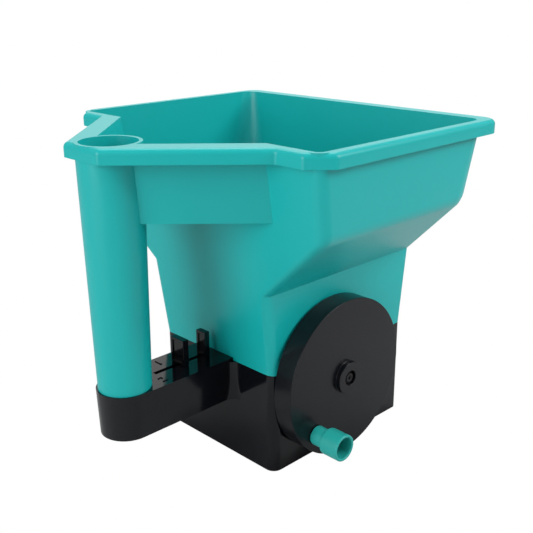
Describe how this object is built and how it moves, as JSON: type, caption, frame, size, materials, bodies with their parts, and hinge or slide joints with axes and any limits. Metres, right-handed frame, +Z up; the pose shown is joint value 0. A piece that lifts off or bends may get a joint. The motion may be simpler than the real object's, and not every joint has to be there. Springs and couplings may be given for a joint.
{
  "type": "dial seed sower",
  "caption": "Hand-cranked seed sower: wide hopper with a tube handle over a base block, whose side crank spins an impeller fed through a sliding shutter.",
  "frame": {"origin": "centre of the base block's flat underside, on the surface it stands on", "axes": "+X towards the throw outlet, with the handle at -X; +Y away from the crank wheel; +Z up"},
  "size_m": [0.2164, 0.207, 0.2],
  "materials": {
    "teal": "satin moulded plastic",
    "black": "glossy moulded plastic",
    "acetal": "plain moulded acetal",
    "steel": "zinc plated"
  },
  "bodies": {
    "base": {"base_housing": "black", "hopper": "teal", "chamber_floor": "black", "chamber_floor_screws": "steel", "hopper_screws": "steel", "handle_screw": "steel", "wheel_washer": "steel", "wheel_screw": "steel", "drive_outer_bush": "acetal", "drive_inner_bush": "acetal", "shaft_lower_bush": "acetal", "shaft_upper_bush": "acetal"},
    "crank": {"crank_wheel": "black", "knob_pin": "steel"},
    "knob": {"crank_knob": "teal"},
    "drive": {"drive_pinion": "acetal", "drive_shaft": "steel", "drive_bevel": "acetal", "drive_collar": "steel"},
    "rotor": {"impeller_shaft": "steel", "impeller_bevel": "acetal", "impeller": "black", "agitator": "black", "agitator_nut": "steel"},
    "shutter": {"shutter_slide": "black", "shutter_tab": "black"},
    "stop": {"flow_stop": "black"}
  },
  "joints": [
    {"name": "crank_spin", "type": "hinge", "parent": "base", "child": "crank", "pos_m": [-0.0117, 0, 0.0522], "axis": [0, 1, 0], "continuous": true},
    {"name": "knob_spin", "type": "hinge", "parent": "crank", "child": "knob", "pos_m": [-0.03836, -0.075, 0.02401], "axis": [0, 1, 0], "continuous": true},
    {"name": "drive_spin", "type": "hinge", "parent": "base", "child": "drive", "pos_m": [-0.0117, 0, 0.0282], "axis": [0, 1, 0], "continuous": true},
    {"name": "impeller_spin", "type": "hinge", "parent": "base", "child": "rotor", "pos_m": [-0.0117, 0, 0.0282], "axis": [0, 0, 1], "continuous": true},
    {"name": "shutter_travel", "type": "slide", "parent": "base", "child": "shutter", "axis": [1, 0, 0], "range_m": [-0.015, 0.013]},
    {"name": "stop_travel", "type": "slide", "parent": "base", "child": "stop", "axis": [1, 0, 0], "range_m": [-0.01, 0]}
  ],
  "couplings": [
    {"joint": "drive_spin", "follows": "crank_spin", "ratio": 3.6667},
    {"joint": "impeller_spin", "follows": "crank_spin", "ratio": -3.6667}
  ]
}
